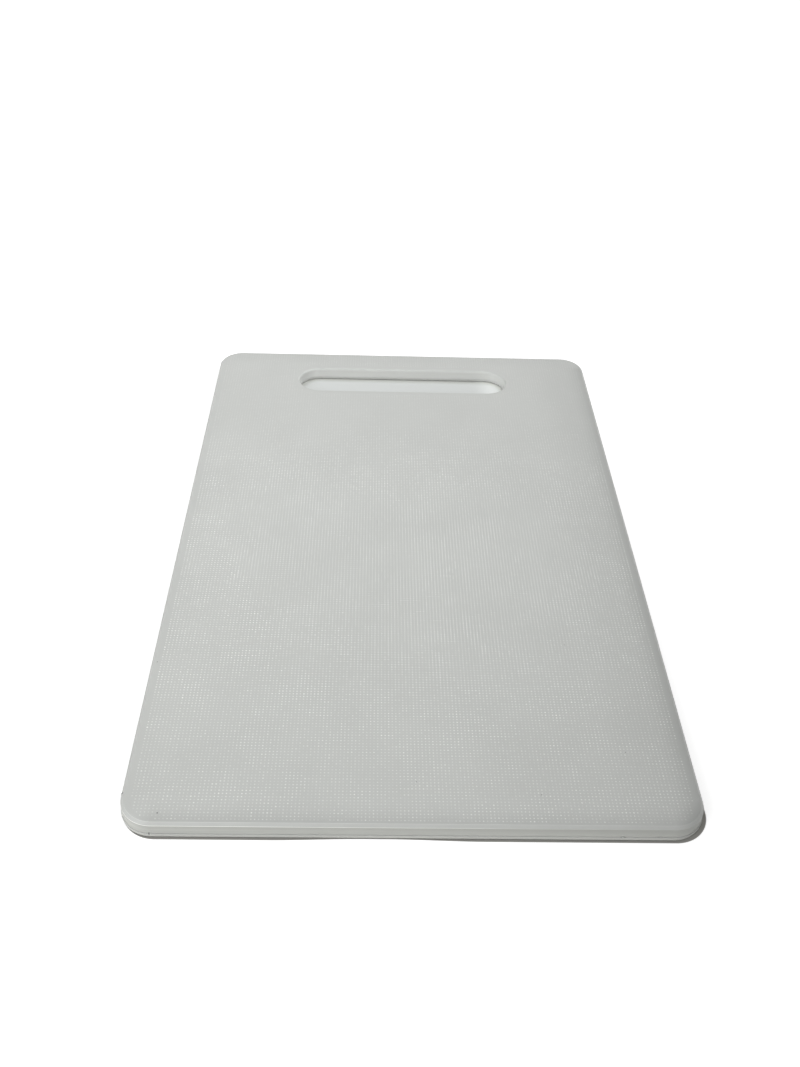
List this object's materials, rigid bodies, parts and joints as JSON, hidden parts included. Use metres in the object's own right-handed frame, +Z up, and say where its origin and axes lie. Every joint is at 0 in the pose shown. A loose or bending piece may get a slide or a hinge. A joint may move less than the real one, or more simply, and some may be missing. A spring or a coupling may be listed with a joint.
{
  "type": "cutting board",
  "caption": "Small rigid plastic cutting board, a rounded rectangle moulded in one piece, with finely dotted faces and a hand slot at one end.",
  "frame": {"origin": "middle of the underside, on the surface that the board lies on", "axes": "+Z up through the board's thickness, +Y along the board's length towards the hand slot, +X across the board"},
  "size_m": [0.19, 0.3, 0.0065],
  "materials": {
    "board_plastic": "satin off-white polyethylene, slightly translucent, with fine raised dots on both faces and smooth borders"
  },
  "bodies": {
    "root": {"cutting_board": "board_plastic"}
  },
  "joints": []
}
